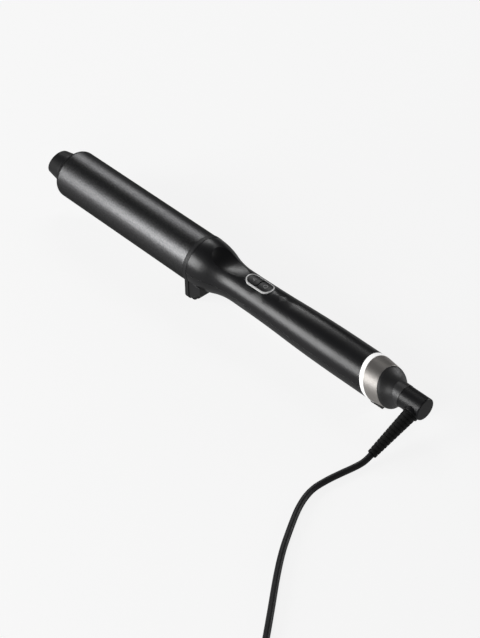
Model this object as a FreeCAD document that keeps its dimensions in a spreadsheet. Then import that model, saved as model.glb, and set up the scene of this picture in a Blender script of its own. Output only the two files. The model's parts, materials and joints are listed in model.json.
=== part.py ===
import FreeCAD, Part
import math
import os
import Sketcher

# Curling wand: a 38 mm heated barrel with a cool tip, a round grip with a
# resting stand, two keys, and a tail with a swivelling mains cord.
#
# The wand is drawn along +X with its swivel's rear face at x = 0, its left
# side at +Y and its keys at +Z.  At the end every piece gets the placement
# that rests the wand on its stand and tail foot, with the floor at z = 0.

Vector = FreeCAD.Vector
Rotation = FreeCAD.Rotation
Placement = FreeCAD.Placement

doc = FreeCAD.newDocument("CurlingWand")
sheet = doc.addObject("Spreadsheet::Sheet", "Dims")
X_AXIS, Y_AXIS, Z_AXIS = Vector(1, 0, 0), Vector(0, 1, 0), Vector(0, 0, 1)
NODES = {}
CORD_NODES = []
NAMES = []


class Size:
    """A length that knows its value and the spreadsheet expression behind it."""

    def __init__(self, value, text):
        self.value, self.text = float(value), text

    def __add__(self, other):
        other = size(other)
        return Size(self.value + other.value, f"({self.text} + {other.text})")

    def __sub__(self, other):
        other = size(other)
        return Size(self.value - other.value, f"({self.text} - {other.text})")

    def __mul__(self, other):
        other = size(other)
        return Size(self.value * other.value, f"({self.text} * {other.text})")

    def __truediv__(self, other):
        other = size(other)
        return Size(self.value / other.value, f"({self.text} / {other.text})")

    def __rmul__(self, other):
        return size(other) * self

    def __neg__(self):
        return Size(-self.value, f"(0 - {self.text})")


def size(number):
    return number if isinstance(number, Size) else Size(number, repr(float(number)))


def cell(alias, value):
    """Put a driving dimension in the sheet and return it as a Size."""
    row = f"A{len(NAMES) + 1}"
    sheet.set(row, str(value))
    sheet.setAlias(row, alias)
    NAMES.append(alias)
    return Size(value, f"Dims.{alias}")


# ---------------------------------------------------------------- dimensions
# Stations along the wand, from the swivel's rear face.
boot_place = cell("boot_place", 6.0)
swivel_length = cell("swivel_length", 17.5)
flare_root = cell("flare_root", 21.3)
rim_place = cell("rim_place", 29.6)
band_rear = cell("band_rear", 40.5)
band_front = cell("band_front", 43.8)
grip_place = cell("grip_place", 72.0)
neck_place = cell("neck_place", 168.6)
shoulder_rear = cell("shoulder_rear", 173.0)
shoulder_front = cell("shoulder_front", 210.3)
collar_front = cell("collar_front", 213.9)
barrel_start = cell("barrel_start", 214.0)
barrel_straight = cell("barrel_straight", 354.0)
barrel_end = cell("barrel_end", 358.5)
tip_start = cell("tip_start", 359.8)
tip_end = cell("tip_end", 377.4)
# Radii about the wand's axis.
barrel_radius = cell("barrel_radius", 19.0)
barrel_wall = cell("barrel_wall", 1.3)
neck_tube_radius = cell("neck_tube_radius", 16.0)
collar_radius = cell("collar_radius", 19.35)
shoulder_radius = cell("shoulder_radius", 19.15)
neck_radius = cell("neck_radius", 13.0)
grip_radius = cell("grip_radius", 15.0)
tail_radius = cell("tail_radius", 14.95)
rim_radius = cell("rim_radius", 13.6)
shell_wall = cell("shell_wall", 2.4)
swivel_radius = cell("swivel_radius", 8.0)
spigot_radius = cell("spigot_radius", 5.0)
plug_ring_radius = cell("plug_ring_radius", 12.4)
cap_cavity_radius = cell("cap_cavity_radius", 11.2)
# The tail is cut on a slant: the top reaches further forward.
tail_slant = cell("tail_slant", 22.8)
# Resting.
stand_drop = cell("stand_drop", 26.8)
stand_place = cell("stand_place", 208.9)
stand_half_top = cell("stand_half_top", 17.3)
stand_half_foot = cell("stand_half_foot", 17.0)
foot_drop = cell("foot_drop", 21.0)
foot_place = cell("foot_place", 39.2)
foot_length = cell("foot_length", 12.4)
foot_width = cell("foot_width", 6.0)
# Keys.
keys_place = cell("keys_place", 154.4)
bezel_length = cell("bezel_length", 24.0)
bezel_width = cell("bezel_width", 11.4)
bezel_rim = cell("bezel_rim", 0.9)
key_gap = cell("key_gap", 0.7)
key_play = cell("key_play", 0.15)
# Cord.
cord_radius = cell("cord_radius", 2.2)
boot_reach = cell("boot_reach", 45.5)
boot_root_radius = cell("boot_root_radius", 5.0)
boot_tip_radius = cell("boot_tip_radius", 3.3)
doc.recompute()

SLANT = Rotation(Y_AXIS, tail_slant.value)
TILT = math.atan((stand_drop - foot_drop).value / (stand_place - foot_place).value)
FLOOR_AT_BOOT = (
    foot_drop.value - (foot_place - boot_place).value * math.tan(TILT)
) * math.cos(TILT)
BOOT_CLEAR = 1.4
BOOT_DROP = math.asin((FLOOR_AT_BOOT - boot_tip_radius.value - BOOT_CLEAR) / boot_reach.value)


# ------------------------------------------------------------------- helpers
def plane_of(body, role):
    return [f for f in body.Origin.OriginFeatures if f.Role == role][0]


def bulge_arc(start, end, radius):
    """The minor arc of a radius from start to end; a minus sign turns it clockwise."""
    middle = (start + end) * 0.5
    chord = end - start
    across = Vector(-chord.y, chord.x, 0).normalize()
    depth = math.sqrt(max(radius * radius - chord.Length**2 / 4, 0.0))
    centre = middle + across * (depth if radius > 0 else -depth)
    first, last = (start, end) if radius > 0 else (end, start)
    angle_0 = math.atan2(first.y - centre.y, first.x - centre.x)
    angle_1 = math.atan2(last.y - centre.y, last.x - centre.x)
    if angle_1 < angle_0:
        angle_1 += 2 * math.pi
    circle = Part.Circle(centre, Z_AXIS, abs(radius))
    return Part.ArcOfCircle(circle, angle_0, angle_1)


def hold(sketch, geometry, point, kind, number):
    """Fix one coordinate of a sketch point, bound to the sheet where it has a cell."""
    if abs(number.value) < 1e-9:
        axis = -2 if kind == "DistanceX" else -1
        sketch.addConstraint(Sketcher.Constraint("PointOnObject", geometry, point, axis))
        return
    index = sketch.addConstraint(
        Sketcher.Constraint(kind, -1, 1, geometry, point, number.value)
    )
    if "Dims" in number.text:
        sketch.setExpression(f"Constraints[{index}]", number.text)


def outline(body, role, corners, name):
    """A closed sketch on an origin plane.  A corner is (across, up) or, where an arc
    leads on from it to the next corner, (across, up, radius)."""
    sketch = body.newObject("Sketcher::SketchObject", name)
    sketch.AttachmentSupport = [(plane_of(body, role), "")]
    sketch.MapMode = "FlatFace"
    points = [Vector(size(c[0]).value, size(c[1]).value, 0) for c in corners]
    count = len(corners)
    ends = []
    for i, corner in enumerate(corners):
        start, end = points[i], points[(i + 1) % count]
        if len(corner) == 3:
            radius = size(corner[2])
            sketch.addGeometry(bulge_arc(start, end, radius.value), False)
            ends.append((1, 2) if radius.value > 0 else (2, 1))
        else:
            sketch.addGeometry(Part.LineSegment(start, end), False)
            ends.append((1, 2))
    for i in range(count):
        following = (i + 1) % count
        sketch.addConstraint(
            Sketcher.Constraint("Coincident", i, ends[i][1], following, ends[following][0])
        )
    for i, corner in enumerate(corners):
        hold(sketch, i, ends[i][0], "DistanceX", size(corner[0]))
        hold(sketch, i, ends[i][0], "DistanceY", size(corner[1]))
        if len(corner) == 3:
            radius = size(corner[2])
            radius = radius if radius.value > 0 else -radius
            index = sketch.addConstraint(Sketcher.Constraint("Radius", i, radius.value))
            if "Dims" in radius.text:
                sketch.setExpression(f"Constraints[{index}]", radius.text)
    return sketch


def revolved(name, corners):
    """A body turned about the wand's axis from its half section (along, radius)."""
    body = doc.addObject("PartDesign::Body", name)
    sketch = outline(body, "XZ_Plane", corners, name + "_section")
    turn = body.newObject("PartDesign::Revolution", name + "_turn")
    turn.Profile = sketch
    turn.ReferenceAxis = (sketch, ["H_Axis"])
    turn.Angle = 360
    body.Tip = turn
    return body


def ring(name, start, end, outer, inner=0.0):
    """A turned disc, or a tube where it has an inner radius."""
    return revolved(name, [(start, inner), (start, outer), (end, outer), (end, inner)])


def extruded(name, role, corners, length, start=0.0):
    """A body padded from an origin plane along its normal, then slid to its start."""
    body = doc.addObject("PartDesign::Body", name)
    sketch = outline(body, role, corners, name + "_outline")
    pad = body.newObject("PartDesign::Pad", name + "_pad")
    pad.Profile = sketch
    length = size(length)
    pad.Length = length.value
    if "Dims" in length.text:
        pad.setExpression("Length", length.text)
    body.Tip = pad
    normal = {"XY_Plane": Z_AXIS, "YZ_Plane": X_AXIS}[role]
    body.Placement = Placement(normal * size(start).value, Rotation())
    return body


def upright(name, corners, width):
    """A body padded both ways from the wand's upright middle plane."""
    body = doc.addObject("PartDesign::Body", name)
    sketch = outline(body, "XZ_Plane", corners, name + "_outline")
    pad = body.newObject("PartDesign::Pad", name + "_pad")
    pad.Profile = sketch
    width = size(width)
    pad.Length = width.value
    if "Dims" in width.text:
        pad.setExpression("Length", width.text)
    pad.Midplane = True
    body.Tip = pad
    return body


def block(name, low, high):
    """A Part::Box from its two corners; its sides are bound where they have cells."""
    box = doc.addObject("Part::Box", name)
    for side, a, b in zip(("Length", "Width", "Height"), low, high, strict=True):
        span = size(b) - size(a)
        setattr(box, side, span.value)
        if "Dims" in span.text:
            box.setExpression(side, span.text)
    box.Placement = Placement(Vector(*[size(a).value for a in low]), Rotation())
    return box


def rod(name, centre, direction, radius, length):
    """A Part::Cylinder that starts at centre and runs along direction."""
    cylinder = doc.addObject("Part::Cylinder", name)
    for key, number in (("Radius", size(radius)), ("Height", size(length))):
        setattr(cylinder, key, number.value)
        if "Dims" in number.text:
            cylinder.setExpression(key, number.text)
    cylinder.Placement = Placement(Vector(*centre), Rotation(Z_AXIS, Vector(*direction)))
    return cylinder


def slanted(name, rear, front, reach=60.0):
    """A block between two planes with the tail's slant, given where they cross the axis."""
    box = doc.addObject("Part::Box", name)
    span = size(front) - size(rear)
    box.setExpression("Length", f"{span.text} * cos(Dims.tail_slant * 1deg)")
    box.Width = box.Height = 2 * reach
    corner = SLANT.multVec(Vector(0, -reach, -reach))
    box.Placement = Placement(Vector(size(rear).value, 0, 0) + corner, SLANT)
    return box


def cut(name, base, *tools):
    result = doc.addObject("Part::Cut", name)
    result.Base = base
    result.Tool = tools[0] if len(tools) == 1 else fuse(name + "_tools", *tools)
    return result


def fuse(name, *pieces):
    result = doc.addObject("Part::MultiFuse", name)
    result.Shapes = list(pieces)
    return result


def common(name, *pieces):
    result = doc.addObject("Part::MultiCommon", name)
    result.Shapes = list(pieces)
    return result


def node(label, piece, on_cord=False):
    """Register a finished sub-part under the name of its file."""
    piece.Label = label
    NODES[label] = piece
    if on_cord:
        CORD_NODES.append(label)
    return piece


def s_radius(length, rise):
    """The radius of two equal arcs that make an S of this length and rise."""
    return (length * length + rise * rise) / (rise * 4)


# -------------------------------------------------------------------- handle
def handle_section(inset, start):
    """Half section of the handle: round tail, waist at the neck, flared shoulder."""
    waist_bend = s_radius(neck_place - grip_place, grip_radius - neck_radius)
    flare_bend = s_radius(shoulder_front - shoulder_rear, shoulder_radius - neck_radius)
    waist_middle = (neck_place + grip_place) / 2
    flare_middle = (shoulder_front + shoulder_rear) / 2
    return [
        (start, 0.0),
        (start, tail_radius - inset),
        (grip_place, grip_radius - inset, -waist_bend),
        (waist_middle, (grip_radius + neck_radius) / 2 - inset, waist_bend),
        (neck_place, neck_radius - inset),
        (shoulder_rear, neck_radius - inset, flare_bend),
        (flare_middle, (shoulder_radius + neck_radius) / 2 - inset, -flare_bend),
        (shoulder_front, shoulder_radius - inset),
        (shoulder_front, 0.0),
    ]


SCOOP_PLACE = 182.0
SCOOP_FLOOR = 10.8
SCOOP_SLOPE_BEND = 55.0
SCOOP_RISE_BEND = 25.0
SCOOP_ACROSS_BEND = 30.0
SCOOP_RUN = 24.0
SEAM_HALF = 0.15
SEAM_DEPTH = 0.5
TAIL_STOCK = 34.0
SCREW_PLACES = (60.0, 182.0)
SCREW_SEAT = 6.0
BOARD_TOP = 5.0
BOARD_THICK = 1.6


def scoop_tool(name, grow):
    """The bowl for the thumb: a long slope down from the keys, then a short rise."""
    across = SCOOP_ACROSS_BEND + grow
    slope, rise = SCOOP_SLOPE_BEND + grow, SCOOP_RISE_BEND + grow
    brow = slope - math.sqrt(slope**2 - SCOOP_RUN**2)
    corners = [
        (SCOOP_PLACE - SCOOP_RUN, 0.0),
        (SCOOP_PLACE - SCOOP_RUN, across - brow, -slope),
        (SCOOP_PLACE, across, -rise),
        (SCOOP_PLACE + rise, across - rise),
        (SCOOP_PLACE + rise, 0.0),
    ]
    bowl = revolved(name, corners)
    bowl.Placement.Base.z = SCOOP_FLOOR + SCOOP_ACROSS_BEND
    return bowl


handle_outer = revolved("handle_outer", handle_section(0.0, TAIL_STOCK))
handle_skin = revolved("handle_skin", handle_section(SEAM_DEPTH, TAIL_STOCK - 1))
handle_inner = revolved("handle_inner", handle_section(shell_wall, TAIL_STOCK - 2))
handle_scooped = cut("handle_scooped", handle_outer, scoop_tool("thumb_scoop", 0.0))
scoop_floor = scoop_tool("scoop_floor", shell_wall.value)
handle_cavity = cut("handle_cavity", handle_inner, scoop_floor)
handle_hollow = cut("handle_hollow", handle_scooped, handle_cavity)
tail_cut = slanted("tail_cut", 0.0, band_front)
seam_slab = block("seam_slab", (30, -25, -SEAM_HALF), (shoulder_front, 25, SEAM_HALF))
seam_groove = cut("seam_groove", seam_slab, handle_skin)


def capsule(name, length, width, low, high):
    """An upright block with round ends over the middle of the keys."""
    half, round_end = size(length) / 2, size(width) / 2
    shoulder = half - round_end
    corners = [
        (-shoulder, -round_end),
        (shoulder, -round_end, round_end),
        (shoulder + round_end, 0.0, round_end),
        (shoulder, round_end),
        (-shoulder, round_end, round_end),
        (-(shoulder + round_end), 0.0, round_end),
    ]
    body = extruded(name, "XY_Plane", corners, size(high) - size(low), low)
    body.Placement.Base.x = keys_place.value
    return body


def barrel_rib(name, low, high):
    """Half of the ring inside the shoulder that the barrel's base butts against."""
    disc = ring(name + "_disc", 197.0, 199.9, 18.0, 9.0)
    half = block(name + "_half", (196, -20, low), (201, 20, high))
    return common(name, disc, half, handle_inner)


def upper_shell():
    bosses = []
    for i, place in enumerate(SCREW_PLACES):
        post = rod(f"upper_post_{i}", (place, 0, 0), (0, 0, 1), 2.8, 14.0)
        bosses.append(common(f"upper_boss_{i}", post, handle_scooped))
    rib = barrel_rib("upper_rib", 0, 20)
    solid = fuse("upper_solid", handle_hollow, rib, *bosses)
    pilots = [
        rod(f"pilot_{i}", (place, 0, -1), (0, 0, 1), 1.2, 9.0)
        for i, place in enumerate(SCREW_PLACES)
    ]
    key_hole = capsule("key_hole", bezel_length, bezel_width, 8.5, 16.0)
    below = block("below_seam", (30, -30, -40), (215, 30, 0))
    return cut("upper_shell", solid, below, tail_cut, key_hole, seam_groove, *pilots)


def stand_outline(inset):
    """The stand seen from the front, from inside the collar down to its foot."""
    top, foot = stand_half_top - inset, stand_half_foot - inset
    sole = -(stand_drop - 0.9 - inset)
    corner = 4.0
    side = (foot - top) / (stand_drop - 8.8)
    knee = foot - side * corner
    return [
        (-top, -8.8),
        (-knee, sole + corner, corner),
        (-(foot - corner), sole),
        (foot - corner, sole, corner),
        (knee, sole + corner),
        (top, -8.8),
    ]


def stand_web():
    """The stand's body behind its front plate, with a hollow curve into the grip."""
    start, back, bend = 193.5, 206.4, 8.0
    web = extruded("web", "YZ_Plane", stand_outline(0.5), shoulder_front - start, start)
    behind = block("web_behind", (180, -30, -40), (back, 30, -16.0 - bend))
    rear = block("web_rear", (180, -30, -40), (back - bend, 30, -5))
    hollow = rod("web_hollow", (back - bend, -30, -16.0 - bend), (0, 1, 0), bend, 60)
    return cut("stand_web", web, behind, rear, hollow)


def board_rib(name, place):
    """A cross wall under the board, open in the middle for the wires."""
    wall = block(name + "_wall", (place, -20, -20), (place + 1.6, 20, BOARD_TOP - BOARD_THICK))
    inside = common(name + "_inside", wall, handle_inner)
    opening = rod(name + "_opening", (place - 1, 0, 0), (1, 0, 0), 7.0, 4.0)
    return cut(name, inside, opening)


def lower_shell():
    posts, bores = [], []
    for i, place in enumerate(SCREW_PLACES):
        post = rod(f"lower_post_{i}", (place, 0, -16), (0, 0, 1), 3.8, 16.0)
        posts.append(common(f"lower_boss_{i}", post, handle_outer))
        bores.append(rod(f"screw_way_{i}", (place, 0, -20), (0, 0, 1), 1.4, 21.0))
        bores.append(
            rod(f"screw_well_{i}", (place, 0, -25), (0, 0, 1), 2.6, 25.0 - SCREW_SEAT)
        )
    ribs = [board_rib("board_rib_rear", 108.0), board_rib("board_rib_front", 164.0)]
    cradle = barrel_rib("lower_rib", -20, 0)
    solid = fuse("lower_solid", handle_hollow, stand_web(), cradle, *posts)
    above = block("above_seam", (30, -30, 0), (215, 30, 40))
    throat = revolved("stand_throat", handle_section(shell_wall, TAIL_STOCK - 3))
    keep = cut("lower_open", solid, cut("throat_clear", throat, cradle, *posts))
    half = cut("lower_half", keep, above, tail_cut, seam_groove, *bores)
    return fuse("lower_shell", half, *ribs)


node("upper_shell", upper_shell())
node("lower_shell", lower_shell())


# ------------------------------------------------------------ collar and feet
def collar_stand():
    """The heat collar, one piece with the stand's front plate."""
    band = revolved(
        "collar_band",
        [
            (shoulder_front, neck_tube_radius + 0.03),
            (shoulder_front, collar_radius),
            (collar_front - 0.4, collar_radius),
            (collar_front, collar_radius - 0.4),
            (collar_front, neck_tube_radius + 0.03),
        ],
    )
    thick = collar_front - shoulder_front
    plate = extruded("stand_plate", "YZ_Plane", stand_outline(0.0), thick, shoulder_front)
    throat = rod("plate_throat", (200, 0, 0), (1, 0, 0), neck_tube_radius + 0.03, 20)
    return cut("collar_stand", fuse("collar_blank", band, plate), throat)


def floor_height(place):
    """How far the floor is below the wand's axis at a station."""
    return foot_drop.value + (place - foot_place.value) * math.tan(TILT)


def stand_pad():
    """The rubber strip under the stand, its sole flat on the floor."""
    rear, front = 206.9, 213.4
    sole = -(stand_drop.value - 0.9)
    blank = block("pad_blank", (rear, -10.5, sole - 3), (front, 10.5, sole))
    return cut("stand_pad", blank, floor_block("pad_floor"))


def floor_block(name):
    """Everything below the floor, for trimming what stands on it."""
    box = doc.addObject("Part::Box", name)
    box.Length, box.Width, box.Height = 400, 80, 20
    turn = Rotation(Y_AXIS, math.degrees(TILT))
    start = Vector(0, -40, -floor_height(0))
    box.Placement = Placement(start + turn.multVec(Vector(0, 0, -20)), turn)
    return box


def tail_foot():
    """The small rubber rest under the tail, hugging the rings above it."""
    half = foot_length / 2
    rear, front = foot_place - half, foot_place + half
    corner = 3.5
    sole = foot_drop + 1.0
    corners = [
        (rear, -13.0),
        (rear, -(sole - corner), corner),
        (rear + corner, -sole),
        (front - corner, -sole, corner),
        (front, -(sole - corner)),
        (front, -13.0),
    ]
    body = upright("foot_blank", corners, foot_width)
    seat = rod("foot_seat", (20, 0, 0), (1, 0, 0), tail_radius + 0.1, 40)
    return cut("tail_foot", body, seat, floor_block("foot_floor"))


node("collar_stand", collar_stand())
node("stand_pad", stand_pad())
node("tail_foot", tail_foot())


# --------------------------------------------------------------- tail rings
def tail_ring(name, rear, front, outer, inner):
    """A slice of tube between two slanted planes."""
    tube = ring(name + "_tube", 10.0, 70.0, outer, inner)
    return common(name, tube, slanted(name + "_slice", rear, front))


def slanted_loft(name, stations):
    """A round solid through sections with the tail's slant: (station on the axis, radius)."""
    sections = []
    for i, (place, radius) in enumerate(stations):
        place, radius = size(place).value, size(radius).value
        section = doc.addObject("Part::Ellipse", f"{name}_section_{i}")
        section.MajorRadius = radius / math.cos(math.radians(tail_slant.value))
        section.MinorRadius = radius
        facing = Rotation(-Z_AXIS, Y_AXIS, X_AXIS, "ZYX")
        section.Placement = Placement(Vector(place, 0, 0), SLANT.multiply(facing))
        sections.append(section)
    loft = doc.addObject("Part::Loft", name)
    loft.Sections = sections
    loft.Solid = True
    return loft


def trim_ring():
    """Metal ring that narrows a little towards the swivel."""
    blank = slanted_loft("trim_blank", [(rim_place, rim_radius), (band_rear, tail_radius)])
    bore = rod("trim_bore", (0, 0, 0), (1, 0, 0), plug_ring_radius, 80.0)
    return cut("trim_ring", blank, bore)


def end_cap():
    """Black trumpet shaped end with a boss for the swivel, plugged into the tail rings."""
    flare = slanted_loft(
        "flare",
        [
            (rim_place, 13.4),
            (28.8, 13.25),
            (28.0, 12.7),
            (26.8, 11.6),
            (25.3, 10.3),
            (23.4, 9.1),
            (flare_root, swivel_radius + 0.2),
        ],
    )
    boss = ring("cap_boss", swivel_length + 0.1, 34.0, swivel_radius + 0.2)
    plug_long = common(
        "cap_plug",
        ring("plug_stock", 15.0, 60.0, plug_ring_radius),
        slanted("plug_slice", rim_place, band_front - 0.1),
    )
    lip = common(
        "cap_lip",
        ring("lip_stock", 15.0, 70.0, plug_ring_radius, cap_cavity_radius),
        slanted("lip_slice", band_front - 2.0, band_front + 5.0),
    )
    cavity = revolved(
        "cap_cavity",
        [
            (29.5, 0.0),
            (29.5, 7.2),
            (34.0, 7.2),
            (34.0, cap_cavity_radius),
            (65.0, cap_cavity_radius),
            (65.0, 0.0),
        ],
    )
    bore = ring("cap_bore", 10.0, 40.0, spigot_radius + 0.06)
    return cut("end_cap", fuse("cap_solid", flare, boss, plug_long, lip), cavity, bore)


node("end_cap", end_cap())
node("trim_ring", trim_ring())
node(
    "light_band",
    tail_ring("light_band", band_rear, band_front, tail_radius + 0.1, plug_ring_radius),
)


# ------------------------------------------------------------------- barrel
def barrel():
    """Coated aluminium tube, necked down at its base and rounded at its far end."""
    shoulder = barrel_end - barrel_straight
    inner = barrel_radius - barrel_wall
    face = barrel_end - barrel_wall
    neck_inner = neck_tube_radius - barrel_wall
    return revolved(
        "barrel",
        [
            (203.0, neck_inner),
            (203.0, neck_tube_radius),
            (barrel_start, neck_tube_radius),
            (barrel_start, barrel_radius),
            (barrel_straight, barrel_radius, -shoulder),
            (barrel_end, barrel_radius - shoulder),
            (barrel_end, 11.0),
            (face, 11.0),
            (face, barrel_radius - shoulder, shoulder - barrel_wall),
            (barrel_straight, inner),
            (barrel_start + barrel_wall, inner),
            (barrel_start + barrel_wall, neck_inner),
        ],
    )


TIP_LEAN = 14.0


def cool_tip():
    """Hollow heat resistant tip: flared root, plain taper, end cut on a slant."""
    root, middle, top = 13.6, 12.3, 9.4
    turned = revolved(
        "tip_turned",
        [
            (352.0, 8.9),
            (352.0, 10.95),
            (tip_start, 10.95),
            (tip_start, root, 6.0),
            (tip_start + 3.7, middle),
            (tip_end + 4.0, top),
            (tip_end + 4.0, 0.0),
            (tip_end - 5.0, 0.0),
            (tip_end - 5.0, 7.6),
        ],
    )
    beyond = doc.addObject("Part::Box", "tip_beyond")
    beyond.Length, beyond.Width, beyond.Height = 20, 60, 60
    lean = Rotation(Y_AXIS, -TIP_LEAN)
    corner = lean.multVec(Vector(0, -30, -30))
    beyond.Placement = Placement(Vector(tip_end.value, 0, 0) + corner, lean)
    blank = cut("tip_blank", turned, beyond)
    doc.recompute()
    edges = blank.Shape.Edges
    rim = max(range(len(edges)), key=lambda i: edges[i].CenterOfMass.x)
    rounded = doc.addObject("Part::Fillet", "cool_tip")
    rounded.Base = blank
    rounded.Edges = [(rim + 1, 1.2, 1.2)]
    return rounded


node("barrel", barrel())
node("tip_seal", ring("tip_seal", barrel_end, tip_start, 13.0, 10.95))
node("cool_tip", cool_tip())
node(
    "barrel_base",
    revolved(
        "barrel_base",
        [
            (200.0, 7.0),
            (200.0, 15.4),
            (203.0, 15.4),
            (203.0, neck_tube_radius - barrel_wall - 0.05),
            (212.0, neck_tube_radius - barrel_wall - 0.05),
            (212.0, 7.0),
        ],
    ),
)


# ------------------------------------------------------------------- heater
HEATER_REAR, HEATER_FRONT = 250.0, 310.0
CORE_HALF = 2.6


def carrier(name, side):
    """D shaped aluminium shoe that carries the heat from the core to the barrel."""
    length = HEATER_FRONT - HEATER_REAR
    fit = barrel_radius - barrel_wall - 0.05
    round_bar = rod(name + "_bar", (HEATER_REAR, 0, 0), (1, 0, 0), fit, length)
    hole_bar = rod(name + "_hole", (HEATER_REAR - 1, 0, 0), (1, 0, 0), fit - 1.1, length + 2)
    low, high = sorted((side * CORE_HALF, side * 20.0))
    near, far = sorted((side * (CORE_HALF + 1.2), side * 20.0))
    half = block(name + "_half", (HEATER_REAR - 1, -20, low), (HEATER_FRONT + 1, 20, high))
    inside = block(name + "_in", (HEATER_REAR - 2, -20, near), (HEATER_FRONT + 2, 20, far))
    solid = common(name + "_solid", round_bar, half)
    return cut(name, solid, common(name + "_hollow", hole_bar, inside))


def thermal_fuse():
    """Tubular cut out with a lead at each end, in the live heater wire."""
    can = rod("fuse_can", (226.0, 5.5, 0), (1, 0, 0), 1.9, 11.0)
    lead = rod("fuse_lead", (222.0, 5.5, 0), (1, 0, 0), 0.5, HEATER_REAR - 222.0)
    return fuse("thermal_fuse", can, lead)


def thermistor():
    """Glass bead sensor on the core's front end."""
    bead = rod("bead", (HEATER_FRONT, 0, 0), (1, 0, 0), 1.1, 4.0)
    cap = doc.addObject("Part::Sphere", "bead_end")
    cap.Radius = 1.1
    cap.Placement = Placement(Vector(HEATER_FRONT + 4.0, 0, 0), Rotation())
    return fuse("thermistor", bead, cap)


node("heater_carrier_upper", carrier("heater_carrier_upper", 1))
node("heater_carrier_lower", carrier("heater_carrier_lower", -1))
node(
    "heater_core",
    block("heater_core", (HEATER_REAR, -8, -CORE_HALF), (HEATER_FRONT, 8, CORE_HALF)),
)
node("thermal_fuse", thermal_fuse())
node("thermistor", thermistor())
node("heater_wire_live", rod("heater_wire_live", (168, 5.5, 0), (1, 0, 0), 0.9, 54.0))
node(
    "heater_wire_neutral",
    rod("heater_wire_neutral", (168, -5.5, 0), (1, 0, 0), 0.9, HEATER_REAR - 168.0),
)


# --------------------------------------------------------------------- keys
KEY_CROWN = 13.75
BEZEL_CROWN = 13.9
KEY_FOOT = 10.25


def crown(name, radius):
    """The round bar whose top the keys and their bezel follow."""
    return rod(name, (130, 0, 0), (1, 0, 0), radius, 50)


def key_bezel():
    outer = capsule("bezel_outer", bezel_length, bezel_width, 9.7, 16.0)
    inner = capsule(
        "bezel_inner", bezel_length - 2 * bezel_rim, bezel_width - 2 * bezel_rim, 9.0, 17.0
    )
    return cut("key_bezel", common("bezel_blank", outer, crown("bezel_crown", BEZEL_CROWN)), inner)


def key(name, side):
    """Half of the capsule inside the bezel, with a crowned top."""
    inside = bezel_rim + key_play
    length, width = bezel_length - 2 * inside, bezel_width - 2 * inside
    whole = capsule(name + "_capsule", length, width, KEY_FOOT, 16.0)
    near = keys_place + side * 0.5 * key_gap
    far = keys_place + side * 20.0
    low, high = (near, far) if side > 0 else (far, near)
    half = block(name + "_half", (low, -10, 0), (high, 10, 20))
    return common(name, whole, half, crown(name + "_crown", KEY_CROWN))


node("key_bezel", key_bezel())
node("key_rear", key("key_rear", -1))
node("key_front", key("key_front", 1))


# -------------------------------------------------------------- electronics
def tact_switch(name, place):
    base = block(name + "_base", (place - 3, -3, BOARD_TOP), (place + 3, 3, BOARD_TOP + 3.3))
    plunger = rod(name + "_plunger", (place, 0, BOARD_TOP + 3.3), (0, 0, 1), 1.6, 0.4)
    return fuse(name, base, plunger)


def shell_screw(name, place):
    """Self tapping screw with a round head and a cross recess."""
    head = rod(name + "_head", (place, 0, -SCREW_SEAT - 1.7), (0, 0, 1), 2.35, 1.7)
    shank = rod(name + "_shank", (place, 0, -SCREW_SEAT), (0, 0, 1), 1.15, 13.5)
    slots = [
        block(name + "_slot_a", (place - 1.4, -0.3, -SCREW_SEAT - 2), (place + 1.4, 0.3, -6.7)),
        block(name + "_slot_b", (place - 0.3, -1.4, -SCREW_SEAT - 2), (place + 0.3, 1.4, -6.7)),
    ]
    return cut(name, fuse(name + "_blank", head, shank), *slots)


BOARD_LOW = BOARD_TOP - BOARD_THICK
node("main_board", block("main_board", (92, -8.2, BOARD_LOW), (172, 8.2, BOARD_TOP)))
node("key_mat", block("key_mat", (keys_place - 10, -4.0, 8.95), (keys_place + 10, 4.0, 9.65)))
node("switch_rear", tact_switch("switch_rear", keys_place.value - 6))
node("switch_front", tact_switch("switch_front", keys_place.value + 6))
node("triac", block("triac", (122, -5, BOARD_TOP), (132, 5, BOARD_TOP + 4.2)))
node("capacitor", block("capacitor", (103, -3, BOARD_TOP), (116, 3, BOARD_TOP + 5.2)))
node("board_fuse", rod("board_fuse", (94, 5.6, BOARD_TOP + 1.8), (1, 0, 0), 1.8, 11.0))
node("status_led", block("status_led", (136, -1.0, BOARD_TOP), (138, 1.0, BOARD_TOP + 1.2)))
for index, place in enumerate(SCREW_PLACES):
    node(f"shell_screw_{index + 1}", shell_screw(f"shell_screw_{index + 1}", place))


# ------------------------------------------------------------------- swivel
CLIP_REAR, CLIP_FRONT = 29.65, 30.65
HUB_REAR, HUB_FRONT = 31.5, 34.5
TRACK_FRONT = HUB_FRONT + 0.5
BRUSH_HOLDER = (38.5, 40.5)


def boot_placement(along):
    """Local placement of something turned about X that leaves the swivel at a distance."""
    drop = Rotation(X_AXIS, -math.degrees(BOOT_DROP))
    outward = drop.multiply(Rotation(X_AXIS, Y_AXIS))
    centre = Vector(boot_place.value, 0, 0) + outward.multVec(Vector(along, 0, 0))
    return Placement(centre, outward)


BOOT_SOCKET = 3.2


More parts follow.
